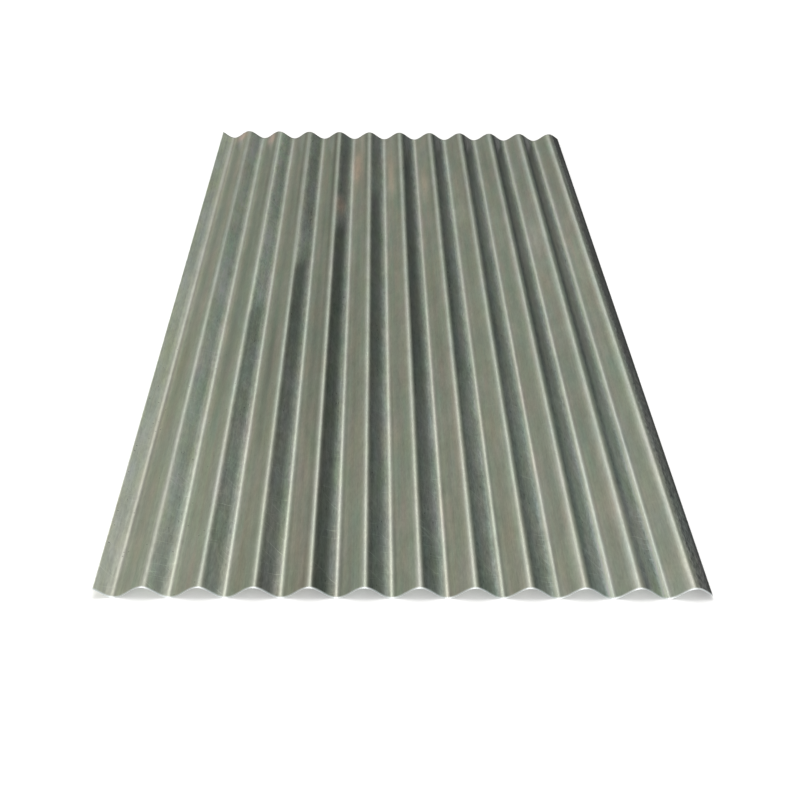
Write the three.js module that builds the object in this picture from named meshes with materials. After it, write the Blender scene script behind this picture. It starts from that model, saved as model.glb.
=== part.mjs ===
// Corrugated steel sheet for roofing and cladding: one roll-formed sheet of galvanised steel.
//
// Millimetres, +Z up. The sheet lies flat with its valleys on the level surface z = 0. X runs across
// the corrugations and Y along them, and the origin is the middle of the sheet, on that surface.

import * as THREE from "three";

// Section
const PITCH = 76; // from one crest to the next
const WAVE_HEIGHT = 18; // from valley to crest, both measured on the same face of the steel
const GAUGE = 0.5; // thickness of the steel
const CREST_COUNT = 11; // whole crests
const UNDERLAP = 66; // left edge to the first crest: it rises again and tucks under the next sheet
const OVERLAP = 24; // last crest to the right edge, which turns down over the next sheet
const WIDTH = UNDERLAP + (CREST_COUNT - 1) * PITCH + OVERLAP; // 850, edge to edge

// Length, cut square at both ends
const LENGTH = 1800;

// The wave is drawn as this many flats to a pitch. It is even, and the flats start half a flat from a
// crest, so that one flat lies level on each crest and one in each valley.
const FLATS_PER_PITCH = 60;

/** Height of the steel's middle layer over its lowest line, at x from the first crest. */
function middleHeight(x) {
  return (WAVE_HEIGHT / 2) * (1 + Math.cos((2 * Math.PI * x) / PITCH));
}

/** Slope of that middle layer at x. */
function middleSlope(x) {
  return -((Math.PI * WAVE_HEIGHT) / PITCH) * Math.sin((2 * Math.PI * x) / PITCH);
}

/** Point on the top face (side 1) or the underside (side -1), square out from the middle layer at x. */
function facePoint(x, side) {
  const slope = middleSlope(x);
  const rise = (side * GAUGE) / 2 / Math.hypot(1, slope);
  return new THREE.Vector2(x - slope * rise, middleHeight(x) + rise);
}

/** Places across the sheet where two flats meet, from the left edge to the right edge. */
function stations() {
  const flat = PITCH / FLATS_PER_PITCH;
  const first = Math.ceil(-UNDERLAP / flat - 0.5);
  const last = Math.floor((WIDTH - UNDERLAP) / flat - 0.5);
  const inner = Array.from({ length: last - first + 1 }, (_, i) => (first + i + 0.5) * flat);
  return [-UNDERLAP, ...inner, WIDTH - UNDERLAP];
}

/** Outline of the sheet's section: along the top face to the right edge, and back along the underside. */
function section() {
  const across = stations();
  const top = across.map((x) => facePoint(x, 1));
  const underside = across.map((x) => facePoint(x, -1)).reverse();
  return new THREE.Shape([...top, ...underside]);
}

/** Bare galvanised steel, as rolled. */
function galvanisedSteel() {
  return new THREE.MeshStandardMaterial({ color: 0xbec3b6, roughness: 0.31, metalness: 1 });
}

/** The sheet: its section drawn out along its length, then laid level with its valleys down. */
function corrugatedSheet() {
  const geometry = new THREE.ExtrudeGeometry(section(), { depth: LENGTH, bevelEnabled: false });
  geometry.computeBoundingBox();
  const { min, max } = geometry.boundingBox;
  geometry.translate(-(min.x + max.x) / 2, -min.y, -LENGTH / 2);

  const sheet = new THREE.Mesh(geometry, galvanisedSteel());
  sheet.name = "corrugated_sheet";
  sheet.rotation.x = Math.PI / 2;
  return sheet;
}

const part = new THREE.Group();
part.add(corrugatedSheet());

export default part;
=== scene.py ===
"""A corrugated sheet of galvanised steel, lying on a pale studio floor.

Lengths are in metres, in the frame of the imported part: X runs across the corrugations, Y along them and
Z up, from the surface that the valleys rest on. Places past a crest are in millimetres, as is any length
whose comment says so.
"""
import logging
import math
import random
from dataclasses import dataclass, field
from enum import Enum
from typing import Any, Iterable, Mapping, Protocol, Sequence, Union

import bmesh
import bpy
from mathutils import Matrix, Vector, noise


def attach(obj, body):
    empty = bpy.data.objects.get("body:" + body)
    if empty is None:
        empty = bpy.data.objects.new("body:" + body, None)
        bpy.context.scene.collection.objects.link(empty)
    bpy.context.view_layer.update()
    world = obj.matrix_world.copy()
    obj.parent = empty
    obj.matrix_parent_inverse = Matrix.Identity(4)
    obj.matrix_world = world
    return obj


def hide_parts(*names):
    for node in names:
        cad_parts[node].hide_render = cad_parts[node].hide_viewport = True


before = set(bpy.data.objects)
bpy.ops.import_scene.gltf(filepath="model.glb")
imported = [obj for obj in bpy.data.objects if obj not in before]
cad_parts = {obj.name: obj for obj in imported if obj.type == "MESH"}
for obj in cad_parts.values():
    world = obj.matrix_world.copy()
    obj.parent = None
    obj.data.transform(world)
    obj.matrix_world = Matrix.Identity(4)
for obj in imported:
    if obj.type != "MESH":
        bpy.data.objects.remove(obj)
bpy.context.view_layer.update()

MM = 0.001
SHEET_NODE = "corrugated_sheet"
PICTURE_WIDTH = 800  # pixels across the square picture
LOG = logging.getLogger("corrugated_sheet")

Colour = tuple[float, float, float]
Point = tuple[float, float, float]
Number = Union["Value", float, int]
Tint = Union[Colour, bpy.types.NodeSocket]  # a colour, or a socket that gives one


# ------ Shader formulas ------


class Value:
    """A number in a shader tree, to be used in formulas as any other number is."""

    def __init__(self, graph: "Graph", socket: bpy.types.NodeSocket) -> None:
        """Wraps an output socket that gives a number."""
        self.graph = graph
        self.socket = socket

    def __add__(self, other: Number) -> "Value":
        """This number plus another."""
        return self.graph.maths("ADD", self, other)

    def __radd__(self, other: Number) -> "Value":
        """Another number plus this one."""
        return self.graph.maths("ADD", other, self)

    def __sub__(self, other: Number) -> "Value":
        """This number less another."""
        return self.graph.maths("SUBTRACT", self, other)

    def __rsub__(self, other: Number) -> "Value":
        """Another number less this one."""
        return self.graph.maths("SUBTRACT", other, self)

    def __mul__(self, other: Number) -> "Value":
        """This number times another."""
        return self.graph.maths("MULTIPLY", self, other)

    def __rmul__(self, other: Number) -> "Value":
        """Another number times this one."""
        return self.graph.maths("MULTIPLY", other, self)

    def __truediv__(self, other: Number) -> "Value":
        """This number over another."""
        return self.graph.maths("DIVIDE", self, other)

    def __rtruediv__(self, other: Number) -> "Value":
        """Another number over this one."""
        return self.graph.maths("DIVIDE", other, self)

    def __neg__(self) -> "Value":
        """This number with its sign turned."""
        return self.graph.maths("MULTIPLY", self, -1.0)

    def __abs__(self) -> "Value":
        """This number without its sign."""
        return self.graph.maths("ABSOLUTE", self)

    def least(self, other: Number) -> "Value":
        """The lower of this number and another."""
        return self.graph.maths("MINIMUM", self, other)

    def most(self, other: Number) -> "Value":
        """The higher of this number and another."""
        return self.graph.maths("MAXIMUM", self, other)

    def ease(self, start: float, end: float, low: float = 0.0, high: float = 1.0) -> "Value":
        """Goes smoothly from one number to another while this one crosses a range.

        Args:
            start: where the change starts.
            end: where it ends. It may lie below start.
            low: the result up to start.
            high: the result past end.

        Returns:
            The eased number.
        """
        if start > end:
            start, end, low, high = end, start, high, low
        node = self.graph.node(
            "ShaderNodeMapRange",
            {"interpolation_type": "SMOOTHSTEP"},
            {"Value": self, "From Min": start, "From Max": end, "To Min": low, "To Max": high},
        )
        return Value(self.graph, node.outputs["Result"])

    def hump(self, centre: float, width: float) -> "Value":
        """A smooth hump that is 1 at its centre, as this number crosses it.

        Args:
            centre: where its top is.
            width: how far from its centre it is down to about a third.

        Returns:
            Its height.
        """
        off = (self - centre) / width
        return self.graph.maths("EXPONENT", -(off * off))


class Graph:
    """The node tree of one material or world, emptied and built anew."""

    def __init__(self, owner: Union[bpy.types.Material, bpy.types.World]) -> None:
        """Empties the owner's tree.

        Args:
            owner: what the tree belongs to.
        """
        owner.use_nodes = True
        self.tree = owner.node_tree
        self.tree.nodes.clear()

    def node(
        self,
        kind: str,
        settings: Mapping[str, Any] | None = None,
        inputs: Mapping[Union[str, int], Any] | None = None,
    ) -> bpy.types.Node:
        """Adds a node.

        Args:
            kind: the node's type.
            settings: its properties, which are set first.
            inputs: a number, a colour, a Value or a socket for each input, by name or number.

        Returns:
            The new node.
        """
        made = self.tree.nodes.new(kind)
        for name, setting in (settings or {}).items():
            setattr(made, name, setting)
        for key, source in (inputs or {}).items():
            if isinstance(source, Value):
                source = source.socket
            if isinstance(source, bpy.types.NodeSocket):
                self.tree.links.new(source, made.inputs[key])
            elif made.inputs[key].type == "RGBA":
                made.inputs[key].default_value = (*source, 1.0)
            else:
                made.inputs[key].default_value = source
        return made

    def maths(self, operation: str, *terms: Number) -> Value:
        """The result of a Math node's operation on some numbers."""
        made = self.node("ShaderNodeMath", {"operation": operation}, dict(enumerate(terms)))
        return Value(self, made.outputs[0])

    def place(self, kind: str) -> tuple[Value, Value, Value]:
        """A point's or a direction's three coordinates.

        Args:
            kind: "Object" for the place on a surface, in metres, or "Generated" for a world's direction.

        Returns:
            Its x, y and z.
        """
        source = self.node("ShaderNodeTexCoord").outputs[kind]
        parts = self.node("ShaderNodeSeparateXYZ", inputs={"Vector": source})
        x, y, z = (Value(self, socket) for socket in parts.outputs)
        return x, y, z

    def noise(self, place: Sequence[Value], grain: Sequence[float], seed: float, detail: float) -> Value:
        """Soft random variation from 0 to 1.

        Args:
            place: x, y and z on the surface.
            grain: the size of the variation along each of them, in metres.
            seed: moves the pattern, so that two of them differ.
            detail: how many finer layers it has.

        Returns:
            The variation.
        """
        scaled = [part / size + seed for part, size in zip(place, grain)]
        vector = self.node("ShaderNodeCombineXYZ", inputs=dict(enumerate(scaled))).outputs[0]
        made = self.node(
            "ShaderNodeTexNoise",
            {"noise_dimensions": "3D"},
            {"Vector": vector, "Scale": 1.0, "Detail": detail, "Roughness": 0.5},
        )
        return Value(self, made.outputs[0])

    def blend(self, factor: Number, start: Tint, end: Tint, mode: str = "MIX") -> bpy.types.NodeSocket:
        """A colour between two.

        Args:
            factor: 0 for the first and 1 for the second.
            start: the first colour.
            end: the second.
            mode: how they are blended.

        Returns:
            The socket of the blended colour.
        """
        # A Mix node has its two colours in inputs 6 and 7, and the blend of them in output 2
        settings = {"data_type": "RGBA", "blend_type": mode}
        return self.node("ShaderNodeMix", settings, {0: factor, 6: start, 7: end}).outputs[2]

    def scaled(self, colour: Tint, factor: Number) -> bpy.types.NodeSocket:
        """A colour times a number."""
        made = self.node("ShaderNodeVectorMath", {"operation": "SCALE"}, {0: colour, "Scale": factor})
        return made.outputs[0]


# ------ Where something shows on the sheet ------


class Shape(Protocol):
    """How a strength changes along one direction."""

    def at(self, place: Value) -> Value:
        """Its height at a place along that direction."""


@dataclass(frozen=True)
class Step:
    """A soft step from one height to another. It may end below its start."""

    start: float
    end: float
    low: float = 0.0
    high: float = 1.0

    def at(self, place: Value) -> Value:
        """Its height at a place."""
        return place.ease(self.start, self.end, self.low, self.high)


@dataclass(frozen=True)
class Ridge:
    """A soft hump of height 1."""

    centre: float
    width: float

    def at(self, place: Value) -> Value:
        """Its height at a place."""
        return place.hump(self.centre, self.width)


@dataclass(frozen=True)
class Slope:
    """An even rise, by 1 for each metre."""

    zero: float

    def at(self, place: Value) -> Value:
        """Its height at a place."""
        return place - self.zero


@dataclass(frozen=True)
class Both:
    """Two shapes along one direction, where both of them show."""

    one: Shape
    other: Shape

    def at(self, place: Value) -> Value:
        """Its height at a place."""
        return self.one.at(place) * self.other.at(place)


@dataclass(frozen=True)
class Spot:
    """A place on the sheet, and how the steel varies there."""

    place: tuple[Value, Value, Value]
    past: Value  # millimetres past the nearest crest
    right_flank: Value  # 1 on the right-hand flank of a wave
    left_edge: Value  # 1 outside the first valley
    shaded_edge: Value  # 1 on the flank outside the last crest, at the right edge, where shade is painted
    marks: Value
    grains: Value
    clouds: Value
    bands: Value

    @property
    def x(self) -> Value:
        """Place across the sheet."""
        return self.place[0]

    @property
    def y(self) -> Value:
        """Place along it."""
        return self.place[1]


@dataclass(frozen=True)
class Waves:
    """Where a place across the sheet lies on its wave."""

    pitch: float
    first_crest: float

    def past_crest(self, x: Value) -> Value:
        """Distance past the nearest crest, in millimetres, below zero on a wave's left flank."""
        waves = (x - self.first_crest) / self.pitch + 0.5
        return (x.graph.maths("FRACT", waves) - 0.5) * (self.pitch / MM)


@dataclass(frozen=True)
class Variation:
    """Soft random variation that is stretched along the sheet, from -0.5 to 0.5."""

    across: float  # its grain, in millimetres
    along: float  # in millimetres
    seed: float
    detail: float = 2.0

    def at(self, graph: Graph, place: Sequence[Value]) -> Value:
        """Its level at a place on the sheet."""
        grain = (self.across * MM, self.along * MM, self.across * MM)
        return graph.noise(place, grain, self.seed, self.detail) - 0.5


@dataclass(frozen=True)
class Survey:
    """What is worked out once for each place on the sheet, for the rest of the finish to use."""

    waves: Waves
    right_flank: Both = Both(Step(3.0, 9.0), Step(37.0, 31.0))
    left_edge: Step = Step(-0.375, -0.40)
    # The flank outside the last crest, where shade is painted
    shaded_edge: Step = Step(0.4015, 0.407)
    marks: Variation = Variation(2.4, 380, 3.1, 3.0)  # lengthwise rolling marks
    grains: Variation = Variation(2.2, 11.0, 17.9)  # the crystals' grain
    clouds: Variation = Variation(26, 90, 11.3, 4.0)  # cloudy tarnish
    bands: Variation = Variation(13, 900, 7.7)  # broad, long bands of slightly different hue

    def spot(self, graph: Graph) -> Spot:
        """Works it out.

        Args:
            graph: the material's tree.

        Returns:
            The place and its variation.
        """
        place = graph.place("Object")
        past = self.waves.past_crest(place[0])
        return Spot(
            place=place,
            past=past,
            right_flank=self.right_flank.at(past),
            left_edge=self.left_edge.at(place[0]),
            shaded_edge=self.shaded_edge.at(place[0]),
            marks=self.marks.at(graph, place),
            grains=self.grains.at(graph, place),
            clouds=self.clouds.at(graph, place),
            bands=self.bands.at(graph, place),
        )


@dataclass(frozen=True)
class Area:
    """A soft-edged area of the sheet, and how strongly something shows in it."""

    strength: float
    across: Shape | None = None
    along: Shape | None = None
    lean: float = 0.0  # metres that its limits along the sheet move forward for each metre to the right

    def at(self, spot: Spot) -> Number:
        """Its strength at a place.

        Args:
            spot: the place on the sheet.

        Returns:
            The strength.
        """
        level: Number = self.strength
        if self.across:
            level = self.across.at(spot.x) * level
        if self.along:
            level = self.along.at(spot.y + spot.x * self.lean if self.lean else spot.y) * level
        return level


Areas = tuple[Area, ...]


def total(areas: Areas, spot: Spot) -> Number:
    """The strengths of several areas at a place, added up."""
    return sum(area.at(spot) for area in areas)


def gain_of(groups: Sequence[Areas], spot: Spot) -> Number:
    """The gain at a place of several groups of areas, each of which adds its total to 1."""
    return math.prod(1.0 + total(areas, spot) for areas in groups)


@dataclass(frozen=True)
class Strip:
    """A soft strip along every wave, and how much it brightens the steel over the sheet."""

    centre: float  # millimetres past the crest
    width: float  # millimetres
    areas: Areas
    slide: float = 0.0  # millimetres that it moves to the left for each metre across the sheet

    def at(self, spot: Spot) -> Value:
        """What it adds to the gain at a place."""
        past = spot.past + spot.x * self.slide if self.slide else spot.past
        return past.hump(self.centre, self.width) * total(self.areas, spot)


@dataclass(frozen=True)
class Patch:
    """A soft-edged oval patch on the sheet, in millimetres."""

    x: float
    y: float
    half_width: float
    half_length: float
    strength: float

    def at(self, spot: Spot) -> Value:
        """Its strength at a place."""
        across = Ridge(self.x * MM, self.half_width * MM).at(spot.x)
        return across * Ridge(self.y * MM, self.half_length * MM).at(spot.y) * self.strength


# ------ Finishes ------

# What several areas of the painted shading share
FIRST_WAVE = Step(-0.31, -0.35)
LEFT_HALF = Both(Step(0.10, -0.08), Step(-0.33, -0.29))
FRONT_END = Step(-0.60, -0.80)
CREST_SLIDE = 6.7  # millimetres that a crest's bright line moves to the left for each metre to the right


@dataclass(frozen=True)
class PaintedShading:
    """Painted light and shade in the zinc's colour: painted shade on the right-hand flanks, less of it at
    the left, pale at their feet, and painted highlight and shade along the crests, beside the valleys and
    outside the last crest.
    """

    # The gain in the dark part of a right-hand flank, where shade is painted: the sum of these, times the
    # gains of the groups
    flank: Areas = (
        Area(0.63),
        Area(-0.24, Ridge(-0.110, 0.065)),
        Area(0.06, Ridge(0.14, 0.07)),
        Area(1.0, Step(-0.18, -0.40)),
    )
    flank_gains: tuple[Areas, ...] = (
        # How deep the painted shade lies: the front is the palest, and the right half darkens in two steps
        # toward the back
        (
            Area(0.08),
            Area(-0.22, Step(-0.10, 0.0), Step(-0.42, -0.20)),
            Area(-0.16, Step(-0.10, 0.0), Step(0.45, 0.75)),
        ),
        (Area(1.0, Step(0.18, 0.29), Step(-0.9, -0.2, 0.10, -0.26)),),
        (Area(-0.30, Step(0.06, 0.15), Step(0.65, 0.85)),),
        (Area(-0.26, Step(0.12, 0.28), Step(0.70, 0.82)),),
        (Area(-0.14, Step(0.34, 0.20), Step(-0.70, -0.88)),),
        # Single waves
        (
            Area(0.14, Ridge(-0.19, 0.035)),
            Area(-0.20, Ridge(-0.19, 0.035), Ridge(-0.05, 0.25)),
            Area(-0.24, Ridge(0.04, 0.02), Step(-0.8, -0.35, 0.3, 1.0)),
            Area(0.20, Ridge(-0.34, 0.03), Slope(-0.2)),
        ),
        # Paler behind a line that runs aslant over the left half
        (
            Area(0.55, LEFT_HALF, Step(0.57, 0.66), lean=-2.47),
            Area(0.40, LEFT_HALF, Both(Step(0.57, 0.66), Ridge(0.71, 0.10)), lean=-2.47),
        ),
    )
    flank_limit: float = 1.66

    # Where the painted shade begins, after how much more it is full, and where it ends, in millimetres
    begin: Areas = (
        Area(1.8),
        Area(1.3, along=Step(-0.8, 0.0)),
        Area(2.2, Ridge(0.03, 0.11), Step(0.2, 0.7)),
        Area(4.4, FIRST_WAVE),
    )
    begin_slide: float = 7.0
    full_after: Areas = (
        Area(4.6),
        Area(5.4, FIRST_WAVE),
    )
    ends: Step = Step(31.0, 19.0)
    end_slide: Step = Step(-0.8, 0.1, 0.0, 6.0)

    # The pale foot of a right-hand flank, and the brow above its dark part, a band of deeper painted shade
    # below the crest's bright line
    foot: Strip = Strip(
        31.6,
        4.0,
        (
            Area(0.29),
            Area(0.22, Step(-0.20, -0.30)),
            Area(0.22, Step(-0.10, 0.10)),
            Area(-0.12, Ridge(-0.17, 0.05)),
            Area(-0.12, Ridge(0.05, 0.025)),
            Area(0.10, Ridge(0.13, 0.03), Step(-0.6, 0.3)),
            Area(0.18, Step(0.22, 0.32), FRONT_END),
            Area(-0.24, Ridge(-0.10, 0.035), FRONT_END),
            Area(0.22, Step(0.12, 0.28), Step(0.2, -0.9)),
            Area(0.04, FIRST_WAVE),
        ),
        slide=-7.0,
    )
    brow: Strip = Strip(
        7.7,
        3.0,
        (Area(-1.0, Both(Step(-0.32, -0.28), Step(0.34, 0.2, 0.12, 0.26)), Step(0.3, -0.2)),),
        slide=CREST_SLIDE,
    )
    # Painted highlight at the left of each crest and on its shoulder, and painted shade that dims the
    # crest's own bright line
    painted_crest_glow: Strip = Strip(
        -7.5,
        4.5,
        (
            Area(0.26, Step(0.05, 0.40)),
            Area(-0.16, Ridge(-0.14, 0.07)),
            Area(-0.08, Ridge(-0.13, 0.03)),
            Area(0.10, Step(0.34, 0.38)),
            Area(0.08, Step(-0.2, -0.3), Step(0.1, -0.3)),
            Area(-0.22, Both(Step(0.36, 0.20), Step(-0.35, -0.28)), Step(0.0, 0.6)),
            Area(0.12, FIRST_WAVE),
        ),
    )
    shoulder: Strip = Strip(
        -3.6,
        2.2,
        (Area(0.08), Area(0.06, Step(-0.1, 0.0), Step(-0.6, 0.2))),
        slide=CREST_SLIDE,
    )
    crest: Strip = Strip(
        0.0,
        2.4,
        (
            Area(-0.08),
            Area(-0.13, Step(0.1, 0.36), Step(0.2, -0.5)),
            Area(-0.17, Step(-0.05, -0.25), Step(-0.1, 0.3)),
            Area(-0.16, Step(-0.26, -0.31), Step(-0.35, -0.65)),
        ),
        slide=CREST_SLIDE,
    )
    # Painted shade beside each valley's bright line, turned to painted light at the sheet's left
    valley_shading: Strip = Strip(
        -33.0,
        3.0,
        (
            Area(-1.0, Step(-0.26, -0.12), Step(0.5, -0.5, 0.02, 0.18)),
            Area(0.24, Step(-0.29, -0.34)),
            Area(0.12, Step(-0.2, -0.28), Step(-0.2, 0.7)),
        ),
    )
    # More painted shade beside the valleys toward the front
    front_valley_shading: Strip = Strip(
        -34.0, 4.0, (Area(-0.12, Both(Step(-0.22, -0.12), Step(0.32, 0.24)), FRONT_END),)
    )
    # The broad middle of the left flanks
    left_flank: Strip = Strip(
        -21.0,
        8.0,
        (
            Area(-0.035),
            Area(-0.20, Step(-0.04, -0.14), Step(-0.7, -0.2)),
            Area(-0.15, Step(-0.15, -0.25), Step(-0.7, -0.2)),
            Area(-0.20, Step(-0.34, -0.38), Step(-0.2, -0.7)),
            Area(0.17, Step(-0.10, 0.0), Ridge(0.59, 0.11), lean=1.05),
            Area(-0.12, Step(0.0, 0.2), Step(0.75, 0.95), lean=1.05),
            Area(0.08, Step(0.35, 0.38)),
            Area(0.09, Ridge(0.31, 0.04), Step(-0.3, 0.2)),
            Area(-0.10, Ridge(0.06, 0.07), Ridge(-0.2, 0.25)),
        ),
    )

    # The flank outside the last crest, with painted shade, black at its cut
    outer_flank: Areas = (
        Area(0.35),
        Area(-0.1125, along=Step(-0.5, 0.3)),
        Area(0.1875, along=Step(0.1, 0.7)),
    )
    outer_from: Step = Step(0.4000, 0.4090)
    outer_shift: Step = Step(-0.3, 0.6, 0.0, 0.0025)
    # Painted shade over the outer flank, darkest at its cut, and painted shade on the bright line of the
    # valley by the left edge
    side_gains: tuple[Areas, ...] = (
        (Area(-0.30, Step(0.398, 0.406)),),
        (Area(-0.65, Step(0.416, 0.4225)),),
        (Area(-0.16, Ridge(-0.399, 0.008), Step(0.0, -0.6)),),  # the valley by the left edge
    )

    def gain(self, spot: Spot) -> Value:
        """The gain of the zinc's colour, from the painted light and shade.

        Args:
            spot: the place on the sheet.

        Returns:
            The gain, 1 where no light or shade is painted.
        """
        dark = (self._flank(spot) - 1.0) * self._dark_part(spot)
        gain = (1.0 + dark + self.foot.at(spot)) * (1.0 + self.brow.at(spot))
        # Painted highlight and shade along the crests and beside the valleys, and the left flanks' tone
        strips = (self.painted_crest_glow, self.shoulder, self.crest, self.valley_shading, self.front_valley_shading, self.left_flank)
        painted_strip_gain = 1.0 + sum(strip.at(spot) for strip in strips)
        return gain * painted_strip_gain * self._outer(spot) * gain_of(self.side_gains, spot)

    def _flank(self, spot: Spot) -> Value:
        """The gain in the dark part of a right-hand flank, where shade is painted."""
        level = total(self.flank, spot) * gain_of(self.flank_gains, spot)
        return level.least(self.flank_limit)

    def _dark_part(self, spot: Spot) -> Value:
        """Which part of a wave has painted shade.

        Args:
            spot: the place on the sheet.

        Returns:
            1 in the painted shade of a right-hand flank and 0 elsewhere.
        """
        past_begin = spot.past - spot.x * self.begin_slide - total(self.begin, spot)
        begun = (past_begin / total(self.full_after, spot)).ease(0.0, 1.0)
        return begun * self.ends.at(spot.past - spot.x.most(0.0) * self.end_slide.at(spot.y))

    def _outer(self, spot: Spot) -> Value:
        """The gain of the flank outside the last crest, where shade is painted, 1 elsewhere."""
        outside = self.outer_from.at(spot.x + self.outer_shift.at(spot.y))
        return 1.0 - (1.0 - total(self.outer_flank, spot)) * outside


@dataclass(frozen=True)
class Scratches:
    """Fine straight scratches, all at one slant."""

    slant: float  # degrees from straight along the sheet
    seed: float
    across: float = 1.5  # millimetres
    along: float = 55.0  # millimetres
    shown: Step = Step(0.15, 0.27)
    rise: float = 0.02  # the share of a wave's height that counts, so that its flanks don't break them up

    def at(self, graph: Graph, place: Sequence[Value]) -> Value:
        """Whether there is a scratch at a place.

        Args:
            graph: the material's tree.
            place: x, y and z on the sheet.

        Returns:
            1 in a scratch and 0 beside it.
        """
        x, y, z = place
        sine = math.sin(math.radians(self.slant))
        cosine = math.cos(math.radians(self.slant))
        turned = (x * cosine - y * sine, x * sine + y * cosine, z * self.rise)
        return self.shown.at(Variation(self.across, self.along, self.seed, 1.0).at(graph, turned))


@dataclass(frozen=True)
class Specks:
    """Small dark specks, sparse."""

    spacing: float = 7.0 * MM
    chosen: Step = Step(0.90, 0.94)
    rim: Step = Step(0.20, 0.08)

    def at(self, graph: Graph, place: Sequence[Value]) -> Value:
        """Whether there is a speck at a place.

        Args:
            graph: the material's tree.
            place: x, y and z on the sheet.

        Returns:
            1 in a speck and 0 beside it.
        """
        scaled = [part / self.spacing for part in place]
        vector = graph.node("ShaderNodeCombineXYZ", inputs=dict(enumerate(scaled))).outputs[0]
        cells = graph.node("ShaderNodeTexVoronoi", {"feature": "F1"}, {"Vector": vector, "Scale": 1.0})
        draw = graph.node("ShaderNodeSeparateColor", inputs={"Color": cells.outputs["Color"]})
        chosen = self.chosen.at(Value(graph, draw.outputs[0]))
        return self.rim.at(Value(graph, cells.outputs["Distance"])) * chosen


@dataclass(frozen=True)
class Mottle:
    """Fine variation of the zinc's brightness: marks, clouds, grain, blotches and scratches."""

    marks: float = 0.26
    clouds: float = 0.28
    grains: float = 0.36
    grains_on_dark: Step = Step(-0.05, 0.15, 0.34, 0.64)  # more of it, the most at the sheet's right
    # More grain on the outer flank, where shade is painted
    grains_in_shaded_edge: float = 2.4
    blotch: Variation = Variation(9.0, 34.0, 29.3, 3.0)
    blotches: float = 0.28
    blotches_on_dark: float = 0.34
    dark_waves: Step = Step(-0.38, -0.28)
    scratched: tuple[Scratches, Scratches] = (Scratches(62.0, 31.7), Scratches(-55.0, 41.1))
    scratches: float = 0.08
    scratches_on_flank: Step = Step(-0.5, -0.8, 0.25, 0.50)  # more of them, the most at the front
    fewer_at_edge: float = 0.65

    def gain(self, graph: Graph, spot: Spot) -> Value:
        """The gain of the zinc's colour.

        Args:
            graph: the material's tree.
            spot: the place on the sheet.

        Returns:
            The gain, about 1.
        """
        dark = spot.right_flank * self.dark_waves.at(spot.x)
        grains = self.grains + self.grains_on_dark.at(spot.x) * dark + self.grains_in_shaded_edge * spot.shaded_edge
        blotches = self.blotches + self.blotches_on_dark * dark
        one, other = (scratches.at(graph, spot.place) for scratches in self.scratched)
        scratches = self.scratches + self.scratches_on_flank.at(spot.y) * spot.right_flank
        scratches = scratches * (1.0 - self.fewer_at_edge * spot.left_edge)
        gain = 1.0 + spot.marks * self.marks + spot.clouds * self.clouds + spot.grains * grains
        return gain + self.blotch.at(graph, spot.place) * blotches + one.most(other) * scratches


@dataclass(frozen=True)
class HueDrift:
    """Slow drifts of the zinc's hue, stronger on the flanks than on the crests and in the valleys."""

    warmth: Variation = Variation(24, 110, 47.9)
    coolness: Variation = Variation(24, 110, 53.3)
    flank: Both = Both(Step(4.0, 11.0), Step(36.0, 29.0))  # millimetres from the crest
    red: float = 0.22
    red_on_flank: float = 0.22
    blue: float = 0.20
    blue_on_flank: float = 0.05
    blue_on_right_flank: float = 0.18
    blue_of_warmth: float = 0.5
    less_at_edge: float = 0.6

    def gains(self, graph: Graph, spot: Spot) -> bpy.types.NodeSocket:
        """The gains of red, green and blue.

        Args:
            graph: the material's tree.
            spot: the place on the sheet.

        Returns:
            The gains' socket, as a colour.
        """
        flank = self.flank.at(abs(spot.past))
        warm = self.warmth.at(graph, spot.place) * (1.0 - self.less_at_edge * spot.left_edge)
        cool = self.coolness.at(graph, spot.place) + warm * self.blue_of_warmth
        blue = self.blue + (self.blue_on_flank + self.blue_on_right_flank * spot.right_flank) * flank
        gains = {
            "Red": 1.0 + warm * (self.red + self.red_on_flank * flank),
            "Green": 1.0,
            "Blue": 1.0 + cool * blue,
        }
        return graph.node("ShaderNodeCombineColor", inputs=gains).outputs[0]


@dataclass(frozen=True)
class Dullness:
    """The zinc's roughness, and what adds to it."""

    zinc: float = 0.305
    clouds: float = 0.06
    marks: float = 0.05
    grains_on_flank: float = 0.10
    left_edge: Step = Step(-0.398, -0.410, 0.0, 0.08)
    # Roughness on the outer flank, where shade is painted
    shaded_edge: float = 0.42
    wear_and_glint: float = 0.2
    specks: float = 0.3

    def roughness(self, spot: Spot, wear_and_glint: Value, specks: Value) -> Value:
        """The roughness at a place.

        Args:
            spot: the place on the sheet.
            wear_and_glint: how bright the place is rubbed, with a painted highlight at the front cut.
            specks: 1 in a speck and 0 beside it.

        Returns:
            The roughness.
        """
        rough = self.zinc + self.clouds * spot.clouds + self.marks * spot.marks
        rough = rough + self.grains_on_flank * spot.grains * spot.right_flank + self.left_edge.at(spot.x)
        return rough + self.shaded_edge * spot.shaded_edge + self.wear_and_glint * wear_and_glint + self.specks * specks


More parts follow.
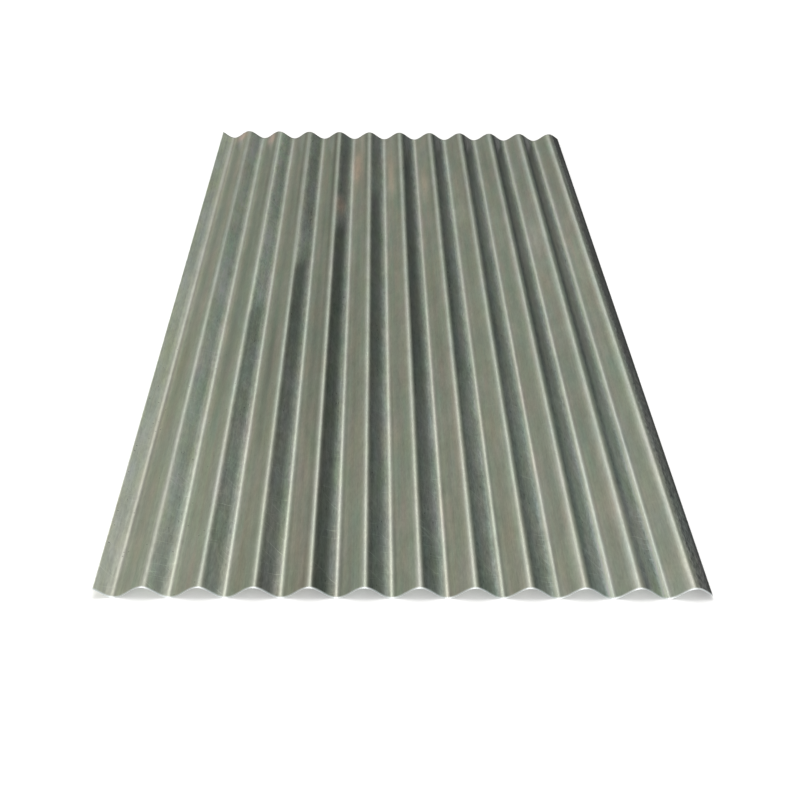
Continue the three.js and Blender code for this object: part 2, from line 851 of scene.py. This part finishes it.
@dataclass(frozen=True)
class GalvanisedFinish:
    """Hot-dip zinc on rolled steel, gone dull, with marks, tarnish, pale smears, scratches and specks, and
    light and shade painted into its colour: dark flanks, a dark outer flank, warm reflections, a bright
    front cut and a dark back cut.
    """

    length: float
    width: float
    waves: Waves
    painted_shading: PaintedShading = PaintedShading()
    mottle: Mottle = Mottle()
    drift: HueDrift = HueDrift()
    dullness: Dullness = Dullness()
    zinc_green: Colour = (0.486, 0.548, 0.465)
    zinc_brown: Colour = (0.536, 0.548, 0.472)
    tarnish: Colour = (0.500, 0.548, 0.500)
    # The pale colour of the smears low on the right-hand flanks and of the pale patches
    pale_zinc: Colour = (0.640, 0.640, 0.640)
    # Rubbed cuts, and the painted highlight along the front cut
    fresh_zinc_and_glint: Colour = (0.84, 0.88, 0.89)
    # The pink of the warm reflections painted at the back
    warm_reflection_tint: Colour = (0.920, 0.730, 0.610)
    # Dark specks, and the painted shade along the back end
    soot_and_shade: Colour = (0.16, 0.17, 0.15)

    # Brown in long bands, most on the left flanks, then toward the front, and at the left edge
    brown_bands: Step = Step(-0.14, 0.16)
    brown_in_bands: Step = Step(0.0, -6.0, 0.28, 0.82)  # by millimetres past the crest
    front: Step = Step(0.0, -0.9)
    brown_in_front: Step = Step(0.0, -6.0, 0.45, 0.25)  # by millimetres past the crest
    brown_edge: Step = Step(-0.385, -0.400, 0.0, 0.5)

    # Tarnish on the right-hand flanks, and on the left ones at the sheet's right
    tarnished_right: Step = Step(-0.25, 0.15, 0.0, 0.85)
    tarnished_left: Step = Step(0.12, 0.32, 0.0, 0.45)
    left_flank: Step = Step(0.0, -6.0)

    # Pale colour smeared low on the right-hand flanks, and in patches
    smear: Variation = Variation(16, 85, 23.5, 3.0)
    smeared: Step = Step(0.0, 0.22)
    low_on_flank: Both = Both(Step(8.0, 24.0), Step(37.0, 33.0))
    smears: Step = Step(-0.40, -0.26, 0.15, 0.45)
    ragged: float = 0.9
    pale_patches: tuple[Patch, ...] = (
        Patch(-340, 40, 10.0, 70, 0.55),
        Patch(-340, 790, 10.0, 70, 0.45),
        Patch(-268, 300, 9.0, 140, 0.30),
        Patch(-193, 310, 8.0, 90, 0.50),
        Patch(-117, 350, 7.0, 60, 0.40),
        Patch(300, 300, 10.0, 100, 0.50),
    )
    # Painted reflections of something warm, in pink patches toward the back
    painted_warm_reflections: tuple[Patch, ...] = (
        Patch(-81, 690, 10.0, 110, 1.0),
        Patch(-3, 640, 8.0, 110, 0.60),
        Patch(74, 600, 8.0, 90, 0.50),
        Patch(150, 590, 6.0, 70, 0.25),
        Patch(-153, 610, 5.0, 90, 0.35),
        Patch(-225, 640, 5.0, 100, 0.25),
        Patch(-117, 440, 9.0, 45, 1.0),
        Patch(-375, 880, 12.0, 30, 1.3),
        Patch(-300, 870, 9.0, 40, 1.3),
    )

    # Specks at the sheet's left, rubbed cuts at its front end and sides, with a painted highlight along
    # the front cut, and painted shade along its back end
    specks: Specks = Specks()
    speckled: Step = Step(-0.05, -0.36)
    worn_and_glinting_end: Step = Step(5 * MM, 1 * MM)
    worn_side: Step = Step(1 * MM, 0.0)
    shaded_back_end: Step = Step(7 * MM, 2 * MM, 0.0, 0.7)
    speck_cover: float = 0.8
    wear_and_glint_cover: float = 0.9
    # How much of its metal the outer flank loses, so that it renders dark as painted shade
    shaded_edge_cover: float = 0.7
    relief: float = 0.010 * MM
    relief_of_marks: float = 0.4
    relief_of_bands: float = 0.6

    def material(self) -> bpy.types.Material:
        """Builds the finish.

        Returns:
            The material.
        """
        made = bpy.data.materials.new("galvanised_steel")
        graph = Graph(made)
        spot = Survey(self.waves).spot(graph)
        specks = self.specks.at(graph, spot.place) * self.speckled.at(spot.x)
        wear_and_glint = self._wear_and_glint(spot)
        # Painted light and shade, times the fine mottle
        brightness = self.painted_shading.gain(spot) * self.mottle.gain(graph, spot)
        tint = graph.scaled(self._colour(graph, spot), brightness)
        tint = graph.blend(specks * self.speck_cover, tint, self.soot_and_shade)
        # Rubbed cuts, with a painted highlight along the front one
        tint = graph.blend(wear_and_glint * self.wear_and_glint_cover, tint, self.fresh_zinc_and_glint)
        # Painted shade along the back cut
        tint = graph.blend(self.shaded_back_end.at(self.length / 2 - spot.y), tint, self.soot_and_shade)
        height = spot.marks * self.relief_of_marks + spot.bands * self.relief_of_bands
        bump = graph.node("ShaderNodeBump", inputs={"Distance": self.relief, "Height": height})
        shader = graph.node(
            "ShaderNodeBsdfPrincipled",
            inputs={
                "Base Color": tint,
                # Less metal on the outer flank, which paints it dark as shade
                "Metallic": 1.0 - self.shaded_edge_cover * spot.shaded_edge,
                "Roughness": self.dullness.roughness(spot, wear_and_glint, specks),
                "Normal": bump.outputs["Normal"],
            },
        )
        graph.node("ShaderNodeOutputMaterial", inputs={"Surface": shader.outputs["BSDF"]})
        return made

    def _colour(self, graph: Graph, spot: Spot) -> bpy.types.NodeSocket:
        """The zinc's colour, before it is lightened or darkened.

        Args:
            graph: the material's tree.
            spot: the place on the sheet.

        Returns:
            The colour's socket.
        """
        x, y, past = spot.x, spot.y, spot.past
        brown = self.brown_bands.at(spot.bands) * self.brown_in_bands.at(past)
        brown = brown + self.front.at(y) * self.brown_in_front.at(past) + self.brown_edge.at(x)
        tint = graph.blend(brown, self.zinc_green, self.zinc_brown)
        tint = graph.blend(spot.right_flank * self.tarnished_right.at(x), tint, self.tarnish)
        tint = graph.blend(self.left_flank.at(past) * self.tarnished_left.at(x), tint, self.tarnish)
        tint = graph.blend(1.0, tint, self.drift.gains(graph, spot), "MULTIPLY")
        smears = self.smeared.at(self.smear.at(graph, spot.place)) * self.smears.at(x)
        tint = graph.blend(smears * self.low_on_flank.at(past), tint, self.pale_zinc)
        ragged = 1.0 + self.ragged * spot.clouds
        # Pale patches, then the painted reflections of something warm
        for patches, colour in ((self.pale_patches, self.pale_zinc), (self.painted_warm_reflections, self.warm_reflection_tint)):
            for patch in patches:
                tint = graph.blend((patch.at(spot) * ragged).least(1.0), tint, colour)
        return tint

    def _wear_and_glint(self, spot: Spot) -> Value:
        """How bright the sheet's outline is rubbed, with a painted highlight at the front cut: 1 at the
        front end's and the sides' cuts.
        """
        at_end = self.worn_and_glinting_end.at(self.length / 2 + spot.y)
        return at_end.most(self.worn_side.at(self.width / 2 - abs(spot.x)))


@dataclass(frozen=True)
class FloorFinish:
    """A plain pale floor, near white to the eye and in what the steel mirrors, that keeps soft shadows."""

    paint: Colour = (0.90, 0.90, 0.90)
    glow: Step = Step(0.8, 2.2, 0.26, 0.60)  # brighter away from the sheet

    def material(self) -> bpy.types.Material:
        """Builds the finish.

        Returns:
            The material.
        """
        made = bpy.data.materials.new("studio_floor")
        graph = Graph(made)
        path = graph.node("ShaderNodeLightPath")
        rays = ("Is Camera Ray", "Is Glossy Ray", "Is Transmission Ray")
        camera, glossy, transmission = (Value(graph, path.outputs[name]) for name in rays)
        x, y, _ = graph.place("Object")
        away = graph.maths("SQRT", x * x + y * y)
        strength = camera.most(glossy).most(transmission) * self.glow.at(away)
        paint = graph.node("ShaderNodeBsdfDiffuse", inputs={"Color": self.paint})
        glow = graph.node("ShaderNodeEmission", inputs={"Strength": strength})
        both = graph.node("ShaderNodeAddShader", inputs={0: paint.outputs[0], 1: glow.outputs[0]})
        graph.node("ShaderNodeOutputMaterial", inputs={"Surface": both.outputs[0]})
        return made


# ------ The sheet ------


class Face(Enum):
    """The two faces of the steel, by the side of its middle layer that they lie on."""

    TOP = 1
    UNDERSIDE = -1


@dataclass
class CorrugatedSheet:
    """One roll-formed sheet: even round waves along its length, cut square at its ends."""

    pitch: float = 76 * MM
    wave_height: float = 18 * MM
    gauge: float = 0.5 * MM
    crest_count: int = 11
    underlap: float = 66 * MM
    overlap: float = 24 * MM
    length: float = 1800 * MM
    steps_per_pitch: int = 32
    step_along: float = 20 * MM
    roll_over: float = 1.2 * MM  # how far in from a cut the shear has rounded the top face down
    roll_drop: float = 0.3 * MM
    trim: float = 0.15 * MM  # the shear's burr is dressed back by this much
    leaning: float = 0.25 * MM  # the most that a wave leans to one side
    swelling: float = 0.05 * MM  # the most that it swells and thins along the sheet
    shallowing: float = 0.06 * MM  # it stays this much inside the nominal height
    settling: float = 0.0125 * MM
    swells_per_wave: float = 0.7
    swell_length: float = 350 * MM
    swell_seed: float = 4.2
    close_steps: tuple[float, ...] = (0.0, 0.3, 0.65, 1.0, 2.2, 5.0)  # from a cut, in roll-overs
    even_from: float = 10.0  # roll-overs from a cut, where the even steps begin
    sharp_angle: float = 38.0  # degrees, from which an edge isn't smoothed
    seed: int = 11
    leans: list[float] = field(default_factory=list)

    def __post_init__(self) -> None:
        """Gives each wave its own slight lean, from the rolls' wear."""
        chance = random.Random(self.seed)
        self.leans = [chance.uniform(-1.0, 1.0) for _ in range(self.crest_count + 3)]

    @property
    def width(self) -> float:
        """Edge to edge."""
        return self.underlap + (self.crest_count - 1) * self.pitch + self.overlap

    @property
    def first_crest(self) -> float:
        """Where the first crest lies across the sheet."""
        return self.underlap - self.width / 2

    def middle(self, x: float, y: float) -> float:
        """Height of the steel's middle layer.

        Args:
            x: place across the sheet.
            y: place along it.

        Returns:
            The height above the floor.
        """
        turn = (x - self.first_crest) / self.pitch
        wave = int(math.floor(turn + 0.5)) + 1
        blend = turn + 0.5 - math.floor(turn + 0.5)
        lean = self._lean(wave, blend)
        angle = 2 * math.pi * turn
        swell = noise.noise(Vector((turn * self.swells_per_wave, y / self.swell_length, self.swell_seed)))
        amplitude = self.wave_height / 2 - self.shallowing + self.swelling * (swell - 1.0)
        centre = (self.wave_height + self.gauge) / 2 - self.settling
        return centre + amplitude * math.cos(angle) + self.leaning * lean * math.sin(angle)

    def _lean(self, wave: int, blend: float) -> float:
        """How far a wave leans, eased from one wave to the next.

        Args:
            wave: the wave's number, from the left.
            blend: how far across the wave, from 0 to 1.

        Returns:
            The lean, from -1 to 1.
        """
        here = self.leans[max(0, min(wave, len(self.leans) - 2))]
        following = self.leans[max(0, min(wave + 1, len(self.leans) - 1))]
        eased = blend * blend * (3 - 2 * blend)
        return here + (following - here) * eased

    def _stations(self, cut: float, step: float) -> list[float]:
        """Places where the mesh is divided: even steps, with close ones at each cut.

        Args:
            cut: how far each of the two cuts is from the sheet's middle.
            step: the even step.

        Returns:
            The places, from one cut to the other.
        """
        close = [share * self.roll_over for share in self.close_steps]
        inner = cut - self.even_from * self.roll_over
        count = max(1, round(2 * inner / step))
        even = [-inner + 2 * inner * i / count for i in range(count + 1)]
        return [c - cut for c in close] + even + [cut - c for c in reversed(close)]

    def _drop(self, x: float, y: float) -> float:
        """How far the shear has drawn the top face down near a cut.

        Args:
            x: place across the sheet.
            y: place along it.

        Returns:
            The drop, square to the steel.
        """
        from_end = self.length / 2 - self.trim - abs(y)
        from_side = self.width / 2 - self.trim - abs(x)
        near = max(0.0, 1.0 - min(from_end, from_side) / self.roll_over)
        return self.roll_drop * near * near

    def _point(self, x: float, y: float, face: Face) -> Vector:
        """A point on one face of the steel.

        Args:
            x: place across the sheet, on the middle layer.
            y: place along it.
            face: which face.

        Returns:
            The point.
        """
        nudge = 0.05 * MM
        slope = (self.middle(x + nudge, y) - self.middle(x - nudge, y)) / (2 * nudge)
        offset = face.value * self.gauge / 2
        if face is Face.TOP:
            offset -= self._drop(x, y)
        rise = offset / math.hypot(1.0, slope)
        return Vector((x - slope * rise, y, self.middle(x, y) + rise))

    def mesh(self) -> bpy.types.Mesh:
        """Both faces of the steel and its four cut edges, as one closed mesh.

        Returns:
            The mesh.
        """
        across = self._stations(self.width / 2 - self.trim, self.pitch / self.steps_per_pitch)
        along = self._stations(self.length / 2 - self.trim, self.step_along)
        shell = bmesh.new()
        grids = {
            face: [[shell.verts.new(self._point(x, y, face)) for x in across] for y in along]
            for face in Face
        }
        for face, rows in grids.items():
            for near, far in zip(rows, rows[1:]):
                for i in range(len(across) - 1):
                    corners = (near[i], near[i + 1], far[i + 1], far[i])
                    shell.faces.new(corners if face is Face.TOP else corners[::-1])
        self._close_rim(shell, grids[Face.TOP], grids[Face.UNDERSIDE])
        made = bpy.data.meshes.new("rolled_sheet")
        shell.to_mesh(made)
        shell.free()
        made.shade_smooth()
        made.set_sharp_from_angle(angle=math.radians(self.sharp_angle))
        return made

    @staticmethod
    def _close_rim(shell: bmesh.types.BMesh, top: list, underside: list) -> None:
        """Joins the two faces around the sheet's outline.

        Args:
            shell: the mesh being built.
            top: the top face's rows of corners.
            underside: the underside's rows of corners.
        """
        for i in range(len(top[0]) - 1):
            shell.faces.new((underside[0][i], underside[0][i + 1], top[0][i + 1], top[0][i]))
            shell.faces.new((underside[-1][i + 1], underside[-1][i], top[-1][i], top[-1][i + 1]))
        for above, below, above_next, below_next in zip(top, underside, top[1:], underside[1:]):
            shell.faces.new((below_next[0], below[0], above[0], above_next[0]))
            shell.faces.new((below[-1], below_next[-1], above_next[-1], above[-1]))

    def build(self) -> bpy.types.Object:
        """Makes the sheet, in its finish, in the place of its CAD solid.

        Returns:
            The sheet.
        """
        piece = bpy.data.objects.new("rolled_sheet", self.mesh())
        bpy.context.scene.collection.objects.link(piece)
        self.dress(piece)
        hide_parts(SHEET_NODE)
        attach(piece, "root")
        return piece

    def dress(self, piece: bpy.types.Object) -> None:
        """Gives the sheet its zinc."""
        finish = GalvanisedFinish(self.length, self.width, Waves(self.pitch, self.first_crest))
        piece.data.materials.append(finish.material())


# ------ The studio ------


@dataclass(frozen=True)
class StudioWalls:
    """What surrounds the sheet: a dull wall at its left, a dark one at its right, a bright strip overhead.

    A direction is told by its turn, in degrees round the sheet's length from straight up to the right, and
    by its lean, in degrees away from the sheet's far end.
    """

    left: Colour = (0.362, 0.362, 0.317)
    left_turn: Step = Step(-90.0, -45.0, 0.93, 1.08)
    left_gain: float = 0.18  # how much brighter the wall is at 45 degrees of lean than at 30
    right: Colour = (0.144, 0.161, 0.157)
    right_turn: Step = Step(72.0, 92.0, 1.0, 0.45)
    right_gain: float = 1.0
    lean_middle: float = 30.0
    lean_span: float = 15.0
    lean_limits: tuple[float, float] = (16.5, 52.5)  # the walls' gains change between these
    corner: Step = Step(0.0, 73.0)
    front: Colour = (0.48, 0.485, 0.48)
    front_lean: Step = Step(62.0, 88.0)
    strip: Colour = (1.02, 1.0, 0.975)
    strip_turn: float = 0.7
    strip_edge: Step = Step(32.0, 14.0)
    strip_lean: Step = Step(60.0, 80.0, 0.48, 0.8)
    core: Ridge = Ridge(3.5, 8.0)
    core_lean: Both = Both(Step(20.0, 44.0), Step(75.0, 35.0))
    core_gain: float = 2.25

    def build(self) -> bpy.types.World:
        """Builds the surroundings.

        Returns:
            The world.
        """
        world = bpy.data.worlds.new("studio_walls")
        graph = Graph(world)
        x, y, z = graph.place("Generated")
        turn = graph.maths("ARCTAN2", x, z) * (180 / math.pi)
        lean = graph.maths("ARCCOSINE", y) * (180 / math.pi)
        lowest, highest = self.lean_limits
        up = (lean.most(lowest).least(highest) - self.lean_middle) / self.lean_span

        left = graph.scaled(self.left, (1.0 + self.left_gain * up) * self.left_turn.at(turn))
        right = graph.scaled(self.right, (1.0 + self.right_gain * up) * self.right_turn.at(turn))
        wall = graph.blend(self.corner.at(turn), left, right)
        wall = graph.blend(self.front_lean.at(lean), wall, self.front)
        strip = graph.scaled(self.strip, self.strip_lean.at(lean))
        wall = graph.blend(self.strip_edge.at(abs(turn - self.strip_turn)), wall, strip)
        core = self.core.at(turn) * self.core_lean.at(lean) * self.core_gain
        wall = graph.blend(1.0, wall, graph.scaled(self.strip, core), "ADD")
        light = graph.node("ShaderNodeBackground", inputs={"Color": wall, "Strength": 1.0})
        graph.node("ShaderNodeOutputWorld", inputs={"Surface": light.outputs[0]})
        return world


@dataclass(frozen=True)
class Softbox:
    """A flat lamp behind a diffuser."""

    name: str
    centre: Point
    aim: Point
    size: tuple[float, float]
    radiance: float

    def build(self) -> bpy.types.Object:
        """Hangs the lamp.

        Returns:
            The lamp.
        """
        lamp = bpy.data.lights.new(self.name, "AREA")
        lamp.shape = "RECTANGLE"
        lamp.size, lamp.size_y = self.size
        lamp.energy = self.radiance * math.pi * self.size[0] * self.size[1]
        placed = bpy.data.objects.new(self.name, lamp)
        placed.location = self.centre
        aimed = Vector(self.aim) - Vector(self.centre)
        placed.rotation_euler = aimed.to_track_quat("-Z", "Y").to_euler()
        bpy.context.scene.collection.objects.link(placed)
        return placed


@dataclass(frozen=True)
class Studio:
    """The floor, the walls and the lamps."""

    floor_size: float = 60.0
    floor_gap: float = 0.2 * MM
    walls: StudioWalls = StudioWalls()
    lamps: tuple[Softbox, ...] = (
        Softbox("overhead_softbox", (-0.1, -0.3, 2.6), (0.0, 0.0, 0.0), (1.8, 1.4), 3.9),
    )

    def build(self) -> list[bpy.types.Object]:
        """Sets the studio up.

        Returns:
            The floor and the lamps.
        """
        bpy.context.scene.world = self.walls.build()
        bpy.context.scene.view_settings.view_transform = "Standard"
        return [self._floor(), *(lamp.build() for lamp in self.lamps)]

    def _floor(self) -> bpy.types.Object:
        """Lays the floor.

        Returns:
            The floor.
        """
        half = self.floor_size / 2
        corners = [(-half, -half, 0.0), (half, -half, 0.0), (half, half, 0.0), (-half, half, 0.0)]
        mesh = bpy.data.meshes.new("studio_floor")
        mesh.from_pydata(corners, [], [(0, 1, 2, 3)])
        mesh.materials.append(FloorFinish().material())
        floor = bpy.data.objects.new("studio_floor", mesh)
        floor.location.z = -self.floor_gap
        bpy.context.scene.collection.objects.link(floor)
        return floor


@dataclass(frozen=True)
class Viewpoint:
    """Where the camera stands and how it is aimed."""

    eye: Point = (-0.0484, -2.2906, 1.1647)
    yaw: float = 1.515  # degrees to the right of +Y
    pitch: float = 31.304  # degrees down
    roll: float = 1.135  # degrees, the picture's right side up
    focal_pixels: float = 1308.8
    sensor: float = 36.0

    def build(self) -> bpy.types.Object:
        """Sets the camera up.

        Returns:
            The camera.
        """
        yaw, pitch, roll = (math.radians(angle) for angle in (self.yaw, self.pitch, self.roll))
        forward = Vector((math.sin(yaw), math.cos(yaw), 0.0))
        ahead = math.cos(pitch) * forward - math.sin(pitch) * Vector((0.0, 0.0, 1.0))
        level = Vector((math.cos(yaw), -math.sin(yaw), 0.0))
        upright = level.cross(ahead)
        right = math.cos(roll) * level + math.sin(roll) * upright
        above = math.cos(roll) * upright - math.sin(roll) * level
        lens = bpy.data.cameras.new("camera")
        lens.sensor_width = self.sensor
        lens.lens = self.focal_pixels * self.sensor / PICTURE_WIDTH
        camera = bpy.data.objects.new("camera", lens)
        turned = Matrix((right, above, -ahead)).transposed()
        camera.matrix_world = Matrix.Translation(self.eye) @ turned.to_4x4()
        bpy.context.scene.collection.objects.link(camera)
        bpy.context.scene.camera = camera
        return camera


def main() -> None:
    """Builds the scene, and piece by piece."""
    logging.basicConfig(level=logging.INFO, format="%(name)s: %(message)s")
    camera = Viewpoint().build()
    LOG.info("camera at %s", tuple(round(c, 3) for c in camera.location))
    for part in Studio().build():
        LOG.info("studio: %s", part.name)
    piece = CorrugatedSheet().build()
    LOG.info("piece: %s, %d faces", piece.name, len(piece.data.polygons))


if __name__ == "__main__":
    main()
